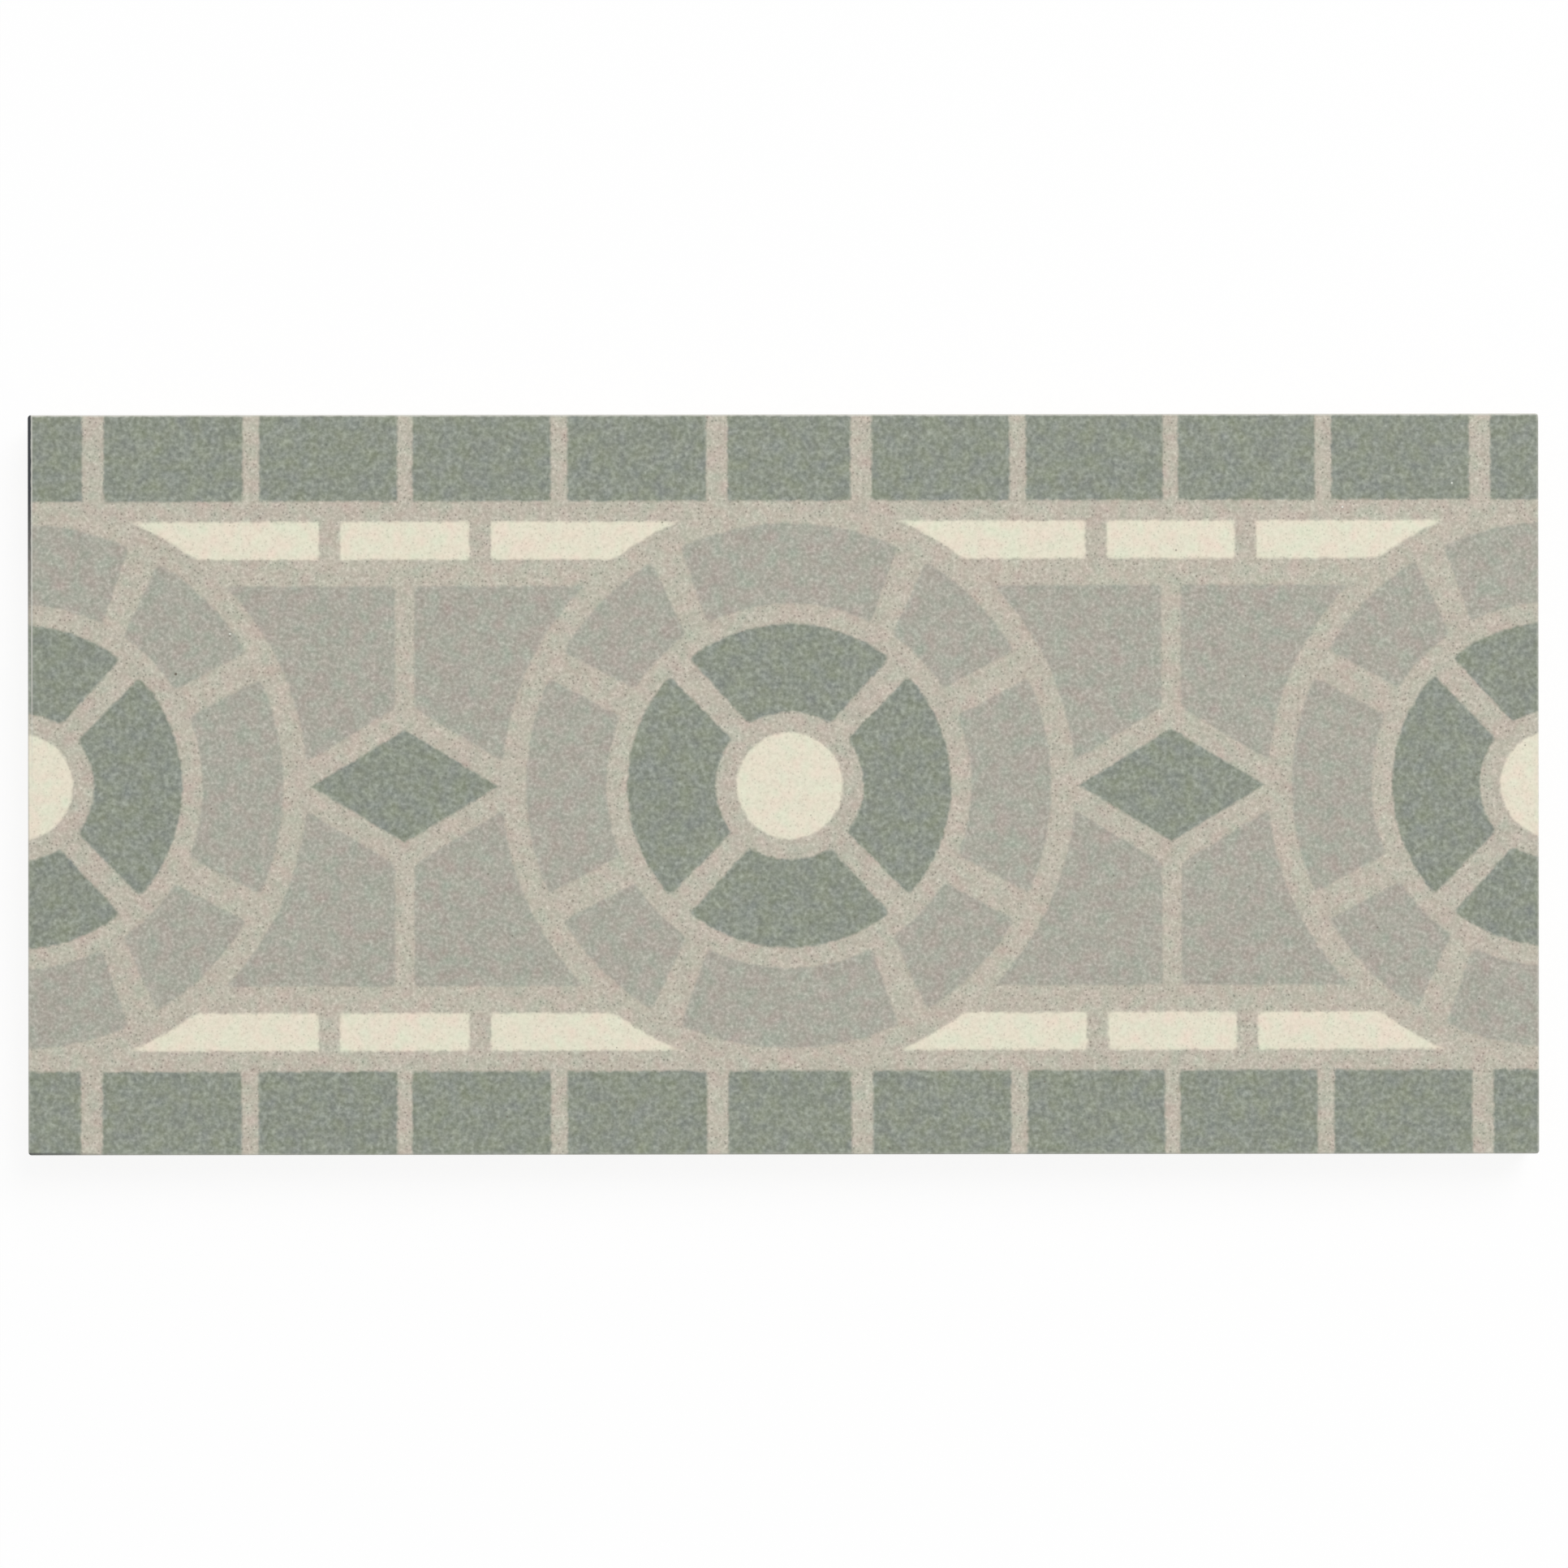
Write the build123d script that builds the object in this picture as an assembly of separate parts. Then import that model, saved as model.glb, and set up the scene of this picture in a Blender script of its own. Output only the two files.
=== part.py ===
from build123d import *
import os

# A pressed and glazed ceramic border tile, in millimetres, lying flat with its printed face up.
# The origin is in the middle of the back, +X runs along the long side and +Z points out of the face.

# Size of the fired tile
tile_length = 298.0
tile_width = 146.0
tile_thickness = 9.0

# The edges: upright beside the face, then leaning in towards the back, as the die lets the clay out
upright_land = 3.0
side_draft = 2.0
face_edge_radius = 0.4
back_edge_chamfer = 0.8

# The back: shallow pockets between ribs, which key the tile into its adhesive
back_border = 9.0
rib_width = 4.0
pocket_pitch = 34.0
pocket_depth = 0.8
pocket_draft = 30.0
pocket_corner_radius = 3.0

# The upright corners are eased a little more than the face, so that its rounded edge runs round them
corner_radius = 1.5 * face_edge_radius

# The pockets fill the back between its borders, in even numbers, so that two ribs cross at the origin
field_length = tile_length - 2 * back_border + rib_width
field_width = tile_width - 2 * back_border + rib_width
columns = 2 * max(1, round(field_length / pocket_pitch / 2))
rows = 2 * max(1, round(field_width / pocket_pitch / 2))
step_x = field_length / columns
step_y = field_width / rows


def tile_blank():
    """The plain slab: an eased face, upright then drafted edges and a chamfered back."""
    with BuildPart() as slab:
        with BuildSketch(Plane.XY.offset(tile_thickness)):
            Rectangle(tile_length, tile_width)
        extrude(amount=-upright_land)
        with BuildSketch(Plane.XY.offset(tile_thickness - upright_land)):
            Rectangle(tile_length, tile_width)
        extrude(amount=upright_land - tile_thickness, taper=side_draft)
        back = slab.faces().sort_by(Axis.Z)[0]
        chamfer(back.edges(), back_edge_chamfer)
        level_edges = slab.edges().filter_by(Plane.XY)
        fillet(slab.edges() - level_edges, corner_radius)
        face = slab.faces().sort_by(Axis.Z)[-1]
        fillet(face.edges(), face_edge_radius)
    return slab.part


def back_pocket():
    """One pocket, as the pad on the press plate that forms it: round corners and drafted sides."""
    with BuildPart() as pocket:
        with BuildSketch():
            RectangleRounded(step_x - rib_width, step_y - rib_width, pocket_corner_radius)
        extrude(amount=pocket_depth, taper=pocket_draft)
    return pocket.part


pocket = back_pocket()
pockets = [place * pocket for place in GridLocations(step_x, step_y, columns, rows)]
tile = tile_blank() - pockets

os.makedirs("parts", exist_ok=True)
export_step(tile, "parts/tile.step")
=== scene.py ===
import math
from typing import NamedTuple
import bpy
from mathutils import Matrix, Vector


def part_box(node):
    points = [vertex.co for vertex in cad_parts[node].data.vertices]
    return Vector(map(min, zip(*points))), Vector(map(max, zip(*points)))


# The looks of a printed and glazed border tile that lies face up on a pale floor.
# The tile's shape is the imported model's own. This script gives it its glaze, print and bare clay, and
# paints shade and highlights on its rim and a glint on its face.

# Sizes are in millimetres where no other unit is named
MM = 0.001

# Where the print lies: its middle wheel's hub is a little off the tile's middle, and it is turned a
# little. Its left half is a little drawn out, and its far side a little drawn in.
hub_x = 1.28
hub_y = -0.25
print_tilt = math.radians(0.045)
print_stretch = 0.0044
print_taper = 0.000025

# The wheels and lozenges take turns along the tile's middle line. The drawing is folded: across runs
# from a wheel's hub to the next lozenge's middle, and up from the middle line to either long side, so
# that each stone is drawn once.
wheel_spacing = 151.2

# The stones' edges are soft and wander in small waves, and their corners are eased
joint_soften = 0.38
edge_wander = 0.8
edge_wave = 1.25
square_ease = 0.9
bar_ease = 1.2
stone_ease = 1.7

# The rows of squares along both long sides: where their joints lie, and how wide each is
squares_from = 56.2
square_joints = ((14.25, 4.19), (45.3, 3.25), (wheel_spacing / 2, 2.96))

# The bars, and the joint between two of them
bars_from = 44.73
bars_to = 52.16
bar_joint = 60.8
bar_joint_width = 4.25

# The wheels, from the hub outwards
hub_radius = 10.46
inner_ring = (14.54, 31.92)
outer_ring = (35.95, 51.76)
wheel_reach = 56.44

# The straight sides of the wheels' stones, as an angle from the long side and a distance from the hub
inner_side = (45.6, -1.73)
inner_top = (47.5, 2.38)
outer_side = (28.0, -3.46)
outer_slant_low = (28.1, 2.49)
outer_slant_high = (64.85, -5.78)
outer_top = (70.7, -4.64)

# The lozenges, and the grey fields round them
lozenge_half_length = 18.39
lozenge_half_width = 11.15
lozenge_joint = 4.6
field_to = 39.45
field_joint_width = 3.8


class Glaze(NamedTuple):
    """A surface's colour as it looks in plain light, and how its grain, clouds and flecks vary it.

    The grain is light, or dark where it is less than nothing. Clouds of lighter and darker shade lean
    towards pink on one side and blue on the other."""
    colour: tuple
    grain_size: float
    grain: float
    mottle: float
    pink: float
    blue: float
    flecks: float
    roughness: float


green = Glaze(colour=(138, 144, 131), grain_size=0.86, grain=0.71, mottle=0.13,
              pink=0.03, blue=0.22, flecks=0.12, roughness=0.60)
grey = Glaze(colour=(169, 167, 155), grain_size=0.66, grain=0.63, mottle=0.17,
             pink=0.19, blue=0.03, flecks=0.0, roughness=0.63)
cream = Glaze(colour=(229, 223, 202), grain_size=0.70, grain=-0.26, mottle=0.05,
              pink=0.17, blue=0.02, flecks=0.13, roughness=0.56)
joint = Glaze(colour=(190, 184, 169), grain_size=0.64, grain=0.58, mottle=0.19,
              pink=0.175, blue=0.03, flecks=0.30, roughness=0.66)
clay = Glaze(colour=(214, 205, 188), grain_size=0.45, grain=0.45, mottle=0.35,
             pink=0.04, blue=0.05, flecks=0.20, roughness=0.85)

# The size of the clouds, and how red, green and blue change where they lean to pink or to blue. Their
# noise and all other noise swings round this mean.
noise_mean = 0.5
glaze_cloud = 3.1
clay_cloud = 9.0
pink_lean = (1.0, -0.78, -0.24)
blue_lean = (-0.49, -0.55, 1.0)

# The grain is noise times itself, which makes its light side the longer one. This is its mean, and the
# power of a colour at which the grain's step looks as large in the dark colours as in the light ones.
grain_middle = 0.26
even_step = 0.58

# Noise on the face reads a place that is turned askew
skew_turn = [math.radians(angle) for angle in (33.0, 24.0, 17.0)]

# Flecks: tiny dark dots in the glaze and in the clay. Every dot's edge is soft over a share of its radius.
fleck_spacing = 0.85
fleck_radius = 0.2
fleck_share = 0.8
dot_soften = 0.4

# Specks in the glaze: a few that stand out, each with its place and strength, and smaller ones scattered.
# The last pale speck is a painted glint, and the last dark speck is a dark spot just below it.
dark_speck = (104, 97, 84)
dark_radius = 0.26
dark_specks = ((-41.6, -22.9, 0.5), (-119.8, 21.9, 1.0), (-105.4, -23.7, 0.4), (-109.1, 29.4, 0.4))
pale_speck_and_glint_colour = (226, 228, 218)
pale_radius = 0.2
pale_specks_and_glint = ((110.3, 54.6, 1.0), (131.9, 59.3, 0.8), (-109.1, 29.8, 0.9))
scattered_spacing = 5.0
scattered_radius = 0.2
scattered_share = 0.5
scattered_strength = 0.6

# The rim: all that follows the face's rounded edge wavers by this much, in waves of this size
rim_waver = 0.5
rim_wave = 1.4

# The glaze is thin on the rim and shows the pale body; the far rim is paler still, a painted highlight. It
# ends below the face.
thin_glaze_and_highlight = (204, 203, 195)
thin_rim = 0.33
thin_rim_soften = 0.2
thin_rim_strength = 0.35
far_highlight_strength = 0.5
far_highlight_from = 1.5
far_highlight_full = 0.5
glaze_thins_at = 0.2
glaze_ends_at = 0.45

# The painted shade on the rim, a dark line on the left and low sides where the light falls away: how deep
# below the face it reaches, how wide it is on each side, and from where to where it grows to its full
# strength there
painted_edge_shade = (38, 42, 46)
painted_shade_depth = 1.0
painted_shade_soften = 0.12
painted_shade_waver = 0.5
painted_shade_ragged = 3.0
left_shade_width = 0.68
left_painted_shade = (20.0, 60.0)
low_shade_width = 0.5
low_painted_shade = (-126.0, -160.0)

# The painted glint: a pale line beside the painted shade on the left rim
glint_line_width = 0.3
glint_line_soften = 0.1
glint_line_strength = 0.7
left_glint_line = (-10.0, 30.0)

# Overspray of glaze on the sides: how deep it reaches, and the patches that break it up
overspray_depth = 2.6
overspray_full_depth = 0.2
overspray_patch = 2.4
overspray_swing = 5.0
overspray_strength = 0.7

# Pale kiln wash, in patches on the ribs of the back alone
kiln_wash = (232, 228, 219)
wash_height = 0.12
wash_full_height = 0.02
wash_patch = 14.0
wash_from = 0.38
wash_full = 0.56

# Relief: a fine matt skin on slow waves in the glaze, and grit and open pits in the clay
skin_size = 0.6
skin_height = 0.02
wave_size = 8.0
wave_height = 0.08
grit_size = 0.5
grit_height = 0.16
pit_size = 1.6
pit_from = 0.66
pit_full = 0.74
pit_depth = 0.12

# How the roughness varies from place to place
worn_size = 3.0
worn_swing = 0.25

# The camera looks straight down and takes in a little more than the tile's length
view_width = 309.2
lens = 100.0
sensor_width = 36.0
camera_clip = 10.0
camera_turn = math.radians(-0.07)
camera_x = 0.12
camera_y = 0.08

# Soft light: a share from all round and a share from a large lamp beyond the far side, to the right.
# The lamp's distance and size are in metres.
world_share = 0.64
lamp_share = 0.36
lamp_distance = 7.0
lamp_height_angle = math.radians(42.0)
lamp_heading = math.radians(55.0)
lamp_size = 4.2

# The floor, white paper just below the tile's back: its size in metres, and the share of plain white
# that the camera and reflections see in it
floor_size = 12.0
floor_gap = 0.05
paper_shade = 1.0
paper_glow = 0.85


def linear(shade):
    """A colour given as it looks, from 0 to 255, as the light values that the shaders take."""
    values = [part / 255 for part in shade]
    values = [v / 12.92 if v <= 0.04045 else ((v + 0.055) / 1.055) ** 2.4 for v in values]
    return (*values, 1.0)


# Small helpers that place one node and return its output

def feed(tree, socket, value):
    """Links a socket to another node's output, or sets it to a plain value."""
    if isinstance(value, bpy.types.NodeSocket):
        tree.links.new(value, socket)
    else:
        socket.default_value = value


def calc(tree, operation, *values):
    node = tree.nodes.new("ShaderNodeMath")
    node.operation = operation
    for socket, value in zip(node.inputs, values):
        feed(tree, socket, value)
    return node.outputs[0]


def vector_calc(tree, operation, *values):
    node = tree.nodes.new("ShaderNodeVectorMath")
    node.operation = operation
    for socket, value in zip(node.inputs, values):
        feed(tree, socket, value)
    return node.outputs["Value"] if operation in ("LENGTH", "DOT_PRODUCT") else node.outputs["Vector"]


def scaled(tree, vector, factor):
    node = tree.nodes.new("ShaderNodeVectorMath")
    node.operation = "SCALE"
    feed(tree, node.inputs[0], vector)
    feed(tree, node.inputs["Scale"], factor)
    return node.outputs["Vector"]


def blend_colours(tree, mask, under, over):
    node = tree.nodes.new("ShaderNodeMix")
    node.data_type = "RGBA"
    feed(tree, node.inputs[0], mask)
    feed(tree, node.inputs[6], under)
    feed(tree, node.inputs[7], over)
    return node.outputs[2]


def blend_values(tree, mask, under, over):
    node = tree.nodes.new("ShaderNodeMix")
    feed(tree, node.inputs[0], mask)
    feed(tree, node.inputs[2], under)
    feed(tree, node.inputs[3], over)
    return node.outputs[0]


def split(tree, vector):
    node = tree.nodes.new("ShaderNodeSeparateXYZ")
    tree.links.new(vector, node.inputs[0])
    return node.outputs["X"], node.outputs["Y"], node.outputs["Z"]


def joined(tree, x, y, z=0.0):
    node = tree.nodes.new("ShaderNodeCombineXYZ")
    for socket, value in zip(node.inputs, (x, y, z)):
        feed(tree, socket, value)
    return node.outputs[0]


def noise(tree, place, size, detail=0.0, output="Fac"):
    """Cloudy noise whose blotches are about as large as size, round a mean of a half."""
    node = tree.nodes.new("ShaderNodeTexNoise")
    feed(tree, node.inputs["Vector"], place)
    if isinstance(size, bpy.types.NodeSocket):
        feed(tree, node.inputs["Scale"], calc(tree, "DIVIDE", 1.0, size))
    else:
        node.inputs["Scale"].default_value = 1.0 / size
    node.inputs["Detail"].default_value = detail
    return node.outputs[output]


def swing(tree, value, amount):
    """A noise round a half made to swing round nothing, by an amount."""
    return calc(tree, "MULTIPLY", calc(tree, "SUBTRACT", value, noise_mean), amount)


def soft_step(tree, distance, soften):
    """0 outside and 1 inside a shape, from the distance inwards, over a soft edge."""
    node = tree.nodes.new("ShaderNodeMapRange")
    node.interpolation_type = "SMOOTHSTEP"
    feed(tree, node.inputs["Value"], distance)
    feed(tree, node.inputs["From Min"], -soften)
    feed(tree, node.inputs["From Max"], soften)
    return node.outputs["Result"]


def ramp(tree, value, none_at, full_at):
    """0 at one value and 1 at another, soft at both ends."""
    node = tree.nodes.new("ShaderNodeMapRange")
    node.interpolation_type = "SMOOTHSTEP"
    feed(tree, node.inputs["Value"], value)
    if none_at < full_at:
        feed(tree, node.inputs["From Min"], none_at)
        feed(tree, node.inputs["From Max"], full_at)
        return node.outputs["Result"]
    feed(tree, node.inputs["From Min"], full_at)
    feed(tree, node.inputs["From Max"], none_at)
    return calc(tree, "SUBTRACT", 1.0, node.outputs["Result"])


def dots(tree, place, spacing, radius, share):
    """Round spots at random places: about one to each square of the spacing, in a share of them."""
    node = tree.nodes.new("ShaderNodeTexVoronoi")
    feed(tree, node.inputs["Vector"], place)
    node.inputs["Scale"].default_value = 1.0 / spacing
    near = calc(tree, "MULTIPLY", node.outputs["Distance"], spacing)
    spot = soft_step(tree, calc(tree, "SUBTRACT", radius, near), dot_soften * radius)
    pick = tree.nodes.new("ShaderNodeSeparateColor")
    tree.links.new(node.outputs["Color"], pick.inputs[0])
    chosen = calc(tree, "LESS_THAN", pick.outputs["Red"], share)
    return calc(tree, "MULTIPLY", spot, chosen)


def specks_at(tree, place, centres, radius):
    """Round specks, each at a given place on the face and of a given strength."""
    x, y = split(tree, place)[:2]
    level = joined(tree, x, y)
    result = 0.0
    for speck_x, speck_y, strength in centres:
        off = vector_calc(tree, "SUBTRACT", level, (speck_x, speck_y, 0.0))
        inside = calc(tree, "SUBTRACT", radius, vector_calc(tree, "LENGTH", off))
        speck = soft_step(tree, inside, dot_soften * radius)
        result = calc(tree, "MAXIMUM", result, calc(tree, "MULTIPLY", speck, strength))
    return result


# The stones of the print, each as a distance inwards from its edge

def least(tree, distances, ease):
    """The distance inside all the given edges, with eased corners."""
    result = distances[0]
    for distance in distances[1:]:
        result = calc(tree, "SMOOTH_MIN", result, distance, ease)
    return result


def most(tree, distances):
    """The distance inside any of the given stones."""
    result = distances[0]
    for distance in distances[1:]:
        result = calc(tree, "MAXIMUM", result, distance)
    return result


def beside_joint(tree, across, middle, width):
    """Distance from the near side of a joint that runs up the tile."""
    off = calc(tree, "ABSOLUTE", calc(tree, "SUBTRACT", across, middle))
    return calc(tree, "SUBTRACT", off, width / 2)


def above_line(tree, point, line):
    """Distance above a straight side that is given by its angle and its distance from the hub."""
    angle, offset = math.radians(line[0]), line[1]
    along = vector_calc(tree, "DOT_PRODUCT", point, (-math.sin(angle), math.cos(angle), 0.0))
    return calc(tree, "SUBTRACT", along, offset)


def below_line(tree, point, line):
    return calc(tree, "MULTIPLY", above_line(tree, point, line), -1.0)


def between(tree, radius, ring):
    inner = calc(tree, "SUBTRACT", radius, ring[0])
    outer = calc(tree, "SUBTRACT", ring[1], radius)
    return least(tree, [inner, outer], stone_ease)


def border_squares(tree, across, up):
    edges = [beside_joint(tree, across, middle, width) for middle, width in square_joints]
    edges.append(calc(tree, "SUBTRACT", up, squares_from))
    return least(tree, edges, square_ease)


def border_bars(tree, across, up, radius):
    low = calc(tree, "SUBTRACT", up, bars_from)
    high = calc(tree, "SUBTRACT", bars_to, up)
    end = beside_joint(tree, across, bar_joint, bar_joint_width)
    ring_end = calc(tree, "SUBTRACT", radius, wheel_reach)
    return least(tree, [low, high, end, ring_end], bar_ease)


def lozenge(tree, across, up):
    """The lozenge between two wheels. Its sides are straight and its tips nearly sharp."""
    off = calc(tree, "SUBTRACT", wheel_spacing / 2, across)
    along = calc(tree, "MULTIPLY", off, 1 / lozenge_half_length)
    over = calc(tree, "MULTIPLY", up, 1 / lozenge_half_width)
    inside = calc(tree, "SUBTRACT", calc(tree, "SUBTRACT", 1.0, along), over)
    slope = math.hypot(1 / lozenge_half_length, 1 / lozenge_half_width)
    return calc(tree, "MULTIPLY", inside, 1 / slope)


def grey_fields(tree, across, up, radius, lozenge_distance):
    beyond_lozenge = calc(tree, "SUBTRACT", -lozenge_joint, lozenge_distance)
    below_bars = calc(tree, "SUBTRACT", field_to, up)
    beside = beside_joint(tree, across, wheel_spacing / 2, field_joint_width)
    beyond_wheel = calc(tree, "SUBTRACT", radius, wheel_reach)
    return least(tree, [beyond_lozenge, below_bars, beside, beyond_wheel], stone_ease)


def inner_stones(tree, point, radius):
    """The green quarter rings: one on each side of a wheel, one above and one below."""
    ring = between(tree, radius, inner_ring)
    side = least(tree, [ring, below_line(tree, point, inner_side)], stone_ease)
    top = least(tree, [ring, above_line(tree, point, inner_top)], stone_ease)
    return most(tree, [side, top])


def outer_stones(tree, point, radius):
    """The grey ring: a side stone, a slanting one and a top one in each quarter."""
    ring = between(tree, radius, outer_ring)
    side = least(tree, [ring, below_line(tree, point, outer_side)], stone_ease)
    above = above_line(tree, point, outer_slant_low)
    below = below_line(tree, point, outer_slant_high)
    slant = least(tree, [ring, above, below], stone_ease)
    top = least(tree, [ring, above_line(tree, point, outer_top)], stone_ease)
    return most(tree, [side, slant, top])


def tile_place(tree):
    """A point's place on the tile, in millimetres from the middle of its back."""
    source = tree.nodes.new("ShaderNodeTexCoord")
    return scaled(tree, source.outputs["Object"], 1 / MM)


def skewed(tree, place):
    """The place turned askew, so that the flat face doesn't cut a noise along its layers."""
    mapping = tree.nodes.new("ShaderNodeMapping")
    mapping.inputs["Rotation"].default_value = skew_turn
    tree.links.new(place, mapping.inputs["Vector"])
    return mapping.outputs["Vector"]


def print_place(tree, place):
    """Where a point of the face lies in the print, from the middle wheel's hub, with wandering edges."""
    mapping = tree.nodes.new("ShaderNodeMapping")
    mapping.vector_type = "TEXTURE"
    mapping.inputs["Location"].default_value = (hub_x, hub_y, 0.0)
    mapping.inputs["Rotation"].default_value = (0.0, 0.0, print_tilt)
    tree.links.new(place, mapping.inputs["Vector"])
    waves = noise(tree, place, edge_wave, detail=1.0, output="Color")
    waves = vector_calc(tree, "SUBTRACT", waves, (noise_mean, noise_mean, noise_mean))
    shift = scaled(tree, waves, edge_wander)
    return vector_calc(tree, "ADD", mapping.outputs["Vector"], shift)


def folded(tree, place):
    """The folded drawing's across and up, its point and its distance from the nearest hub."""
    x, y = split(tree, place)[:2]
    widened = calc(tree, "MULTIPLY", x, calc(tree, "ADD", calc(tree, "MULTIPLY", y, print_taper), 1.0))
    stretch = calc(tree, "MULTIPLY", calc(tree, "ABSOLUTE", x), print_stretch)
    across = calc(tree, "PINGPONG", calc(tree, "ADD", widened, stretch), wheel_spacing / 2)
    up = calc(tree, "ABSOLUTE", y)
    point = joined(tree, across, up)
    return across, up, point, vector_calc(tree, "LENGTH", point)


# The glazes and the clay

def speckle_group():
    """A surface's speckle: grain, larger clouds that lean to pink and to blue, and tiny dark flecks."""
    tree = bpy.data.node_groups.new("Speckle", "ShaderNodeTree")
    for name in ("Place", "Clouds", "Colour", "Grain reach"):
        tree.interface.new_socket(name, in_out="INPUT", socket_type="NodeSocketVector")
    for name in ("Grain size", "Mottle", "Pink", "Blue", "Fleck places", "Flecks"):
        tree.interface.new_socket(name, in_out="INPUT", socket_type="NodeSocketFloat")
    tree.interface.new_socket("Colour", in_out="OUTPUT", socket_type="NodeSocketColor")
    given = tree.nodes.new("NodeGroupInput").outputs
    clouds = vector_calc(tree, "SUBTRACT", given["Clouds"], (noise_mean, noise_mean, noise_mean))
    pinks, shades, blues = split(tree, clouds)
    leaning = vector_calc(tree, "ADD",
                          scaled(tree, pink_lean, calc(tree, "MULTIPLY", pinks, given["Pink"])),
                          scaled(tree, blue_lean, calc(tree, "MULTIPLY", blues, given["Blue"])))
    shade = calc(tree, "ADD", calc(tree, "MULTIPLY", shades, given["Mottle"]), 1.0)
    shade = calc(tree, "SUBTRACT", shade, calc(tree, "MULTIPLY", given["Fleck places"], given["Flecks"]))
    ground = vector_calc(tree, "MULTIPLY", given["Colour"], vector_calc(tree, "ADD", leaning, shade))
    fine = noise(tree, given["Place"], given["Grain size"], detail=1.0)
    grain = calc(tree, "SUBTRACT", calc(tree, "MULTIPLY", fine, fine), grain_middle)
    result = tree.nodes.new("NodeGroupOutput")
    speckled_colour = vector_calc(tree, "ADD", ground, scaled(tree, given["Grain reach"], grain))
    tree.links.new(speckled_colour, result.inputs["Colour"])
    return tree


def speckled(tree, group, place, clouds, flecks, glaze):
    """A glaze's colour with its speckle."""
    colour = linear(glaze.colour)[:3]
    node = tree.nodes.new("ShaderNodeGroup")
    node.node_tree = group
    feed(tree, node.inputs["Place"], place)
    feed(tree, node.inputs["Clouds"], clouds)
    feed(tree, node.inputs["Colour"], colour)
    feed(tree, node.inputs["Grain reach"], [glaze.grain * part ** even_step for part in colour])
    feed(tree, node.inputs["Grain size"], glaze.grain_size)
    feed(tree, node.inputs["Mottle"], glaze.mottle)
    feed(tree, node.inputs["Pink"], glaze.pink)
    feed(tree, node.inputs["Blue"], glaze.blue)
    feed(tree, node.inputs["Fleck places"], flecks)
    feed(tree, node.inputs["Flecks"], glaze.flecks)
    return node.outputs["Colour"]


def printed_face(tree, speckle, place, flecks):
    """The whole drawing in its four glazes: its colour and its roughness."""
    across, up, point, radius = folded(tree, print_place(tree, place))
    lozenge_distance = lozenge(tree, across, up)
    hub = calc(tree, "SUBTRACT", hub_radius, radius)
    squares = border_squares(tree, across, up)
    greens = most(tree, [squares, inner_stones(tree, point, radius), lozenge_distance])
    greys = most(tree, [outer_stones(tree, point, radius),
                        grey_fields(tree, across, up, radius, lozenge_distance)])
    creams = most(tree, [border_bars(tree, across, up, radius), hub])
    askew = skewed(tree, place)
    clouds = noise(tree, askew, glaze_cloud, detail=1.0, output="Color")
    colour = speckled(tree, speckle, askew, clouds, flecks, joint)
    roughness = joint.roughness
    for distance, glaze in ((greens, green), (greys, grey), (creams, cream)):
        mask = soft_step(tree, distance, joint_soften)
        colour = blend_colours(tree, mask, colour, speckled(tree, speckle, askew, clouds, flecks, glaze))
        roughness = blend_values(tree, mask, roughness, glaze.roughness)
    scattered = dots(tree, place, scattered_spacing, scattered_radius, scattered_share)
    scattered = calc(tree, "MULTIPLY", scattered, scattered_strength)
    colour = blend_colours(tree, scattered, colour, linear(dark_speck))
    dark = specks_at(tree, place, dark_specks, dark_radius)
    # Pale specks, the last of them a painted glint
    pale_and_glint = specks_at(tree, place, pale_specks_and_glint, pale_radius)
    colour = blend_colours(tree, dark, colour, linear(dark_speck))
    colour = blend_colours(tree, pale_and_glint, colour, linear(pale_speck_and_glint_colour))
    return colour, roughness


def from_rim(tree, place, size):
    """Distance from the tile's nearest edge, seen from above."""
    x, y = split(tree, place)[:2]
    beside = calc(tree, "SUBTRACT", size.x / 2, calc(tree, "ABSOLUTE", x))
    over = calc(tree, "SUBTRACT", size.y / 2, calc(tree, "ABSOLUTE", y))
    return calc(tree, "MINIMUM", beside, over)


def rimmed(tree, colour, place, waver, size):
    """The face's colour, with the pale body showing through the thin glaze on its rim, and a painted
    highlight on the far rim.
    """
    y = split(tree, place)[1]
    rim = calc(tree, "ADD", from_rim(tree, place, size), waver)
    thin = soft_step(tree, calc(tree, "SUBTRACT", thin_rim, rim), thin_rim_soften)
    # Painted highlight: the far rim is paler still, as if lit
    far = ramp(tree, y, size.y / 2 - far_highlight_from, size.y / 2 - far_highlight_full)
    strength = calc(tree, "ADD", calc(tree, "MULTIPLY", far, far_highlight_strength), thin_rim_strength)
    return blend_colours(tree, calc(tree, "MULTIPLY", thin, strength), colour, linear(thin_glaze_and_highlight))


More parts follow.
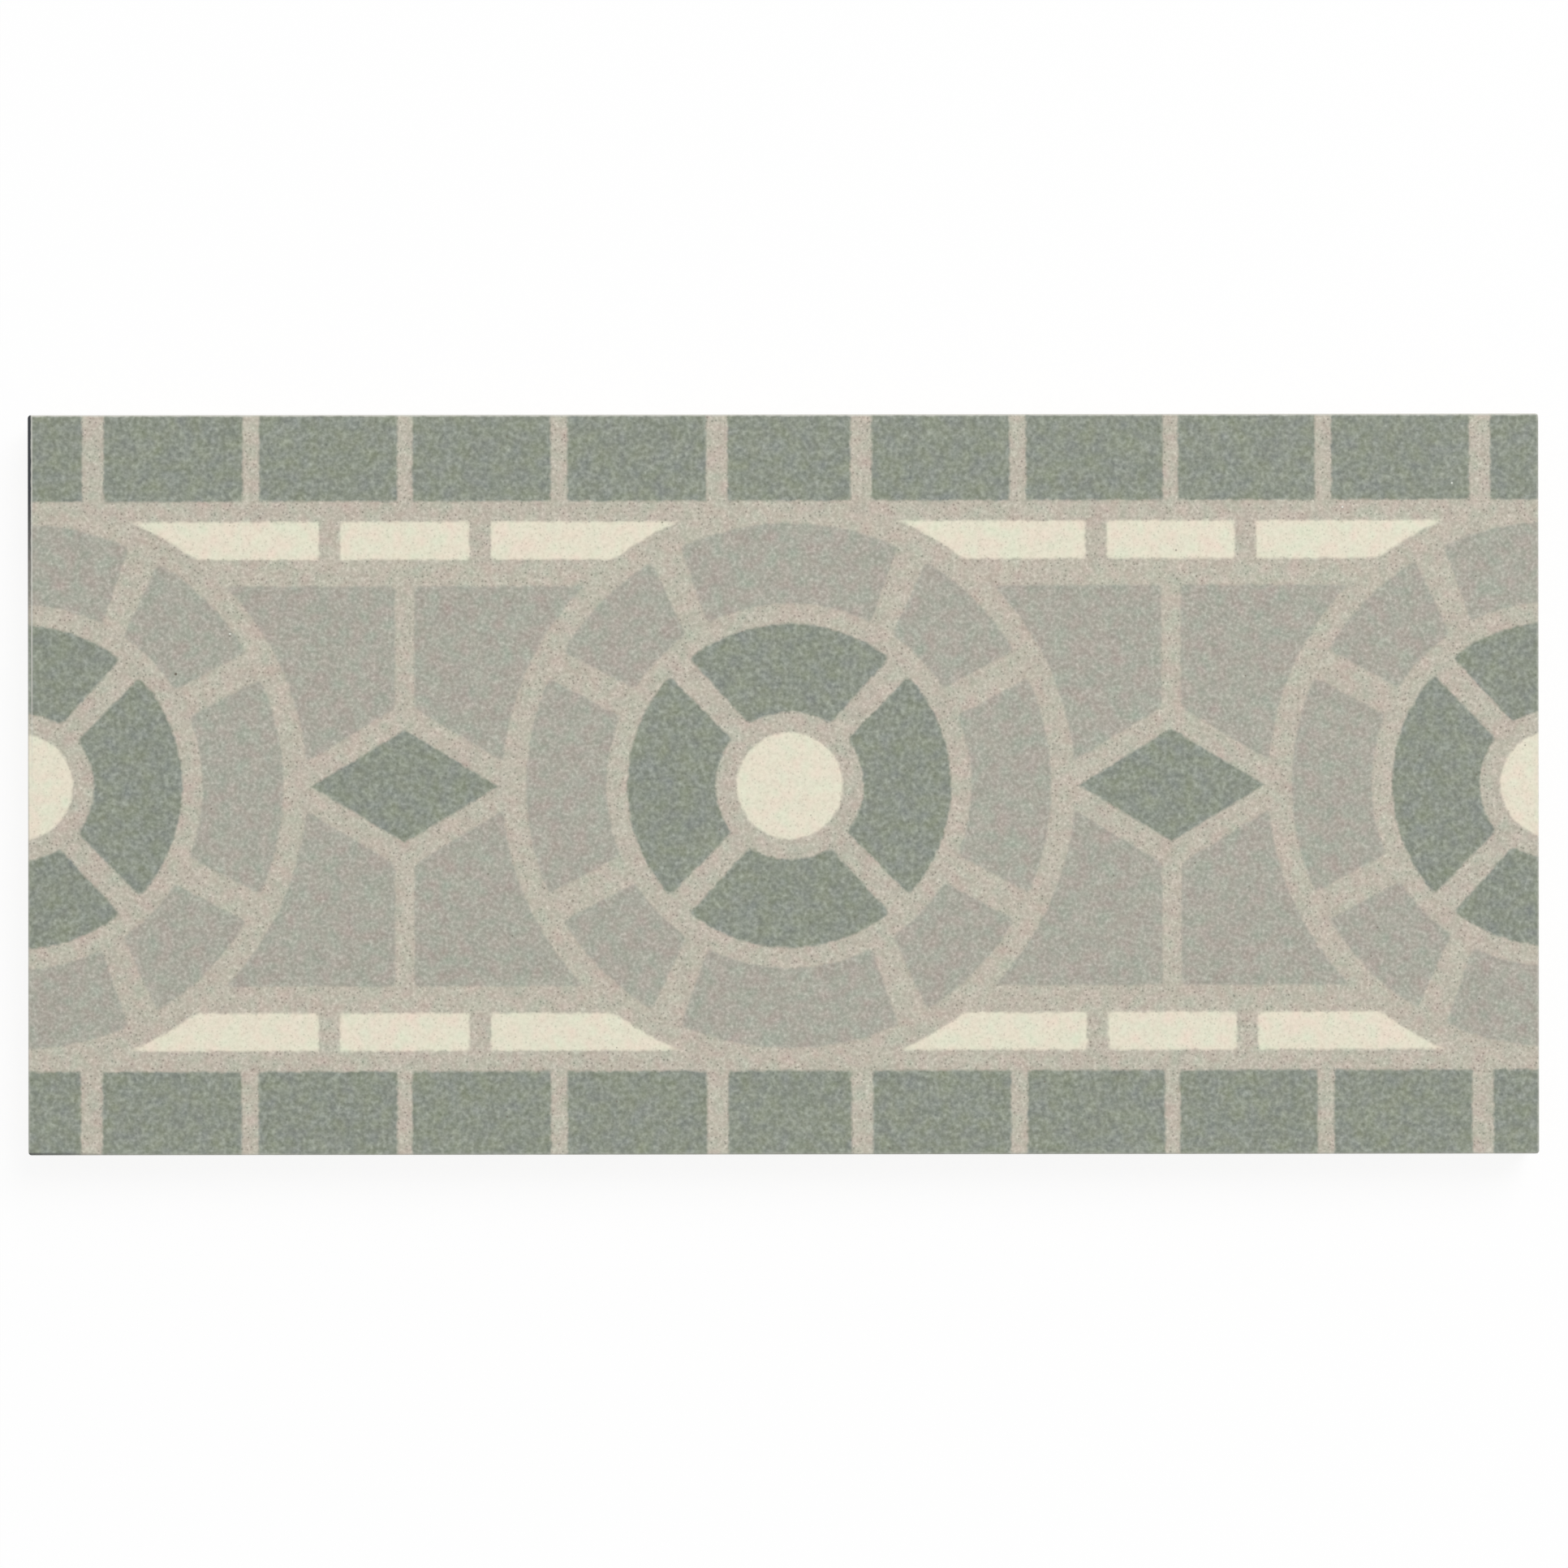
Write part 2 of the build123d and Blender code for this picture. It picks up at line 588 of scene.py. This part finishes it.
def with_painted_shade_and_glint(tree, colour, place, waver, size):
    """Painted shade, a dark line on part of the left rim and near the low corner, and a painted glint line
    beside the left one.
    """
    x, y, z = split(tree, place)
    from_left = calc(tree, "ADD", x, size.x / 2)
    from_near = calc(tree, "ADD", y, size.y / 2)
    ragged = calc(tree, "ADD", z, calc(tree, "MULTIPLY", waver, painted_shade_ragged))
    high = ramp(tree, ragged, size.z - painted_shade_depth, size.z - painted_shade_depth / 3)
    # Painted glint: a pale line beside the painted shade on the left rim
    beside_painted_shade = calc(tree, "SUBTRACT", from_left, left_shade_width + glint_line_width / 2)
    inside = calc(tree, "SUBTRACT", glint_line_width / 2, calc(tree, "ABSOLUTE", beside_painted_shade))
    line = soft_step(tree, inside, glint_line_soften)
    line = calc(tree, "MULTIPLY", line, ramp(tree, y, *left_glint_line))
    painted_glint_line = calc(tree, "MULTIPLY", line, glint_line_strength)
    colour = blend_colours(tree, painted_glint_line, colour, linear(thin_glaze_and_highlight))
    # Painted shade: dark lines along the left and low rims
    for off, width, along, reach in ((from_left, left_shade_width, y, left_painted_shade),
                                     (from_near, low_shade_width, x, low_painted_shade)):
        edge = calc(tree, "ADD", off, calc(tree, "MULTIPLY", waver, painted_shade_waver))
        line = soft_step(tree, calc(tree, "SUBTRACT", width, edge), painted_shade_soften)
        dark = calc(tree, "MULTIPLY", calc(tree, "MULTIPLY", line, high), ramp(tree, along, *reach))
        colour = blend_colours(tree, dark, colour, linear(painted_edge_shade))
    return colour


def bare_clay(tree, speckle, place, flecks, thickness):
    """The pressed body: overspray below the face, and pale kiln wash on the ribs of the back."""
    z = split(tree, place)[2]
    clouds = noise(tree, place, clay_cloud, detail=1.0, output="Color")
    colour = speckled(tree, speckle, place, clouds, flecks, clay)
    patches = noise(tree, place, overspray_patch, detail=3.0)
    depth = calc(tree, "SUBTRACT", thickness, z)
    reach = calc(tree, "ADD", depth, swing(tree, patches, overspray_swing))
    spray = ramp(tree, reach, overspray_depth, overspray_full_depth)
    spray = calc(tree, "MULTIPLY", spray, overspray_strength)
    colour = blend_colours(tree, spray, colour, linear(joint.colour))
    seat = ramp(tree, z, wash_height, wash_full_height)
    wash = ramp(tree, noise(tree, place, wash_patch, detail=4.0), wash_from, wash_full)
    return blend_colours(tree, calc(tree, "MULTIPLY", seat, wash), colour, linear(kiln_wash))


def relief(tree, place, bare):
    """How high the surface stands, in millimetres: a fine matt skin on waves, and open grain on clay."""
    skin = swing(tree, noise(tree, place, skin_size, detail=1.0), skin_height)
    waves = swing(tree, noise(tree, place, wave_size), wave_height)
    glaze = calc(tree, "ADD", skin, waves)
    grit = swing(tree, noise(tree, place, grit_size, detail=2.0), grit_height)
    pits = calc(tree, "MULTIPLY", ramp(tree, noise(tree, place, pit_size), pit_from, pit_full), -pit_depth)
    return blend_values(tree, bare, glaze, calc(tree, "ADD", grit, pits))


def tile_material(size):
    """Printed glaze on the face and bare clay from its rounded edge down."""
    material = bpy.data.materials.new("printed_glaze")
    material.use_nodes = True
    tree = material.node_tree
    shader = tree.nodes["Principled BSDF"]
    speckle = speckle_group()
    place = tile_place(tree)
    z = split(tree, place)[2]
    waver = swing(tree, noise(tree, place, rim_wave, detail=2.0), rim_waver)
    drop = calc(tree, "ADD", calc(tree, "SUBTRACT", size.z, z), waver)
    bare = ramp(tree, drop, glaze_thins_at, glaze_ends_at)
    flecks = dots(tree, place, fleck_spacing, fleck_radius, fleck_share)
    face, roughness = printed_face(tree, speckle, place, flecks)
    face = rimmed(tree, face, place, waver, size)
    body = bare_clay(tree, speckle, place, flecks, size.z)
    # The rim takes painted shade on its left and low sides, and a painted glint line on the left
    colour = with_painted_shade_and_glint(tree, blend_colours(tree, bare, face, body), place, waver, size)
    feed(tree, shader.inputs["Base Color"], colour)
    roughness = blend_values(tree, bare, roughness, clay.roughness)
    worn = swing(tree, noise(tree, place, worn_size, detail=2.0), worn_swing)
    feed(tree, shader.inputs["Roughness"], calc(tree, "ADD", roughness, worn))
    bump = tree.nodes.new("ShaderNodeBump")
    bump.inputs["Distance"].default_value = MM
    feed(tree, bump.inputs["Height"], relief(tree, place, bare))
    tree.links.new(bump.outputs["Normal"], shader.inputs["Normal"])
    return material


# The floor, the lamp and the camera

def seen_directly(tree):
    """1 for rays from the camera, off a glossy surface or through a clear one, and 0 for all others."""
    rays = tree.nodes.new("ShaderNodeLightPath").outputs
    seen = calc(tree, "MAXIMUM", rays["Is Camera Ray"], rays["Is Glossy Ray"])
    return calc(tree, "MAXIMUM", seen, rays["Is Transmission Ray"])


def add_floor():
    """Paper that looks white to the camera, and still takes a soft part of the tile's shadow."""
    bpy.ops.object.select_all(action="DESELECT")
    bpy.ops.mesh.primitive_plane_add(size=floor_size, location=(0.0, 0.0, -floor_gap * MM))
    floor = bpy.context.object
    floor.name = "floor"
    material = bpy.data.materials.new("pale_floor")
    material.use_nodes = True
    tree = material.node_tree
    tree.nodes.clear()
    paper = tree.nodes.new("ShaderNodeBsdfDiffuse")
    paper.inputs["Color"].default_value = (paper_shade, paper_shade, paper_shade, 1.0)
    white = tree.nodes.new("ShaderNodeEmission")
    mix = tree.nodes.new("ShaderNodeMixShader")
    feed(tree, mix.inputs["Fac"], calc(tree, "MULTIPLY", seen_directly(tree), paper_glow))
    tree.links.new(paper.outputs[0], mix.inputs[1])
    tree.links.new(white.outputs[0], mix.inputs[2])
    result = tree.nodes.new("ShaderNodeOutputMaterial")
    tree.links.new(mix.outputs[0], result.inputs["Surface"])
    floor.data.materials.append(material)


def add_world():
    world = bpy.data.worlds.new("studio")
    world.use_nodes = True
    tree = world.node_tree
    background = tree.nodes["Background"]
    seen = calc(tree, "MULTIPLY", seen_directly(tree), 1.0 - world_share)
    strength = calc(tree, "ADD", world_share, seen)
    background.inputs["Color"].default_value = (1.0, 1.0, 1.0, 1.0)
    feed(tree, background.inputs["Strength"], strength)
    bpy.context.scene.world = world


def add_lamp():
    """A square lamp. Its power makes a plain white face on the floor lamp_share bright."""
    level = lamp_distance * math.cos(lamp_height_angle)
    height = lamp_distance * math.sin(lamp_height_angle)
    place = (level * math.cos(lamp_heading), level * math.sin(lamp_heading), height)
    data = bpy.data.lights.new("lamp", "AREA")
    data.size = lamp_size
    data.energy = lamp_share * (math.pi * lamp_distance) ** 2 / math.sin(lamp_height_angle)
    lamp = bpy.data.objects.new("lamp", data)
    lamp.location = place
    lamp.rotation_euler = (0.0, math.pi / 2 - lamp_height_angle, lamp_heading)
    bpy.context.scene.collection.objects.link(lamp)


def add_camera(face_height):
    data = bpy.data.cameras.new("camera")
    data.lens = lens
    data.sensor_width = sensor_width
    data.clip_start = camera_clip * MM
    camera = bpy.data.objects.new("camera", data)
    distance = view_width * MM * lens / sensor_width
    camera.location = (camera_x * MM, camera_y * MM, face_height + distance)
    camera.rotation_euler = (0.0, 0.0, camera_turn)
    bpy.context.scene.collection.objects.link(camera)
    bpy.context.scene.camera = camera


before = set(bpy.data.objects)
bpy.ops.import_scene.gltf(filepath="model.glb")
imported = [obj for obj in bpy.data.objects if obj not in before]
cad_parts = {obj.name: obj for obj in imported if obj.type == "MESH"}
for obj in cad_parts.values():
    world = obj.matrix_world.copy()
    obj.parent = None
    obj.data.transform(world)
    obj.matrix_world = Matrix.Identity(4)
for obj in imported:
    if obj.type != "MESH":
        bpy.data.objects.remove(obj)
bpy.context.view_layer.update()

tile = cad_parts["tile"]
low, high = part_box("tile")
tile.material_slots[0].material = tile_material((high - low) / MM)

add_floor()
add_world()
add_lamp()
add_camera(high.z)
bpy.context.scene.view_settings.view_transform = "Standard"
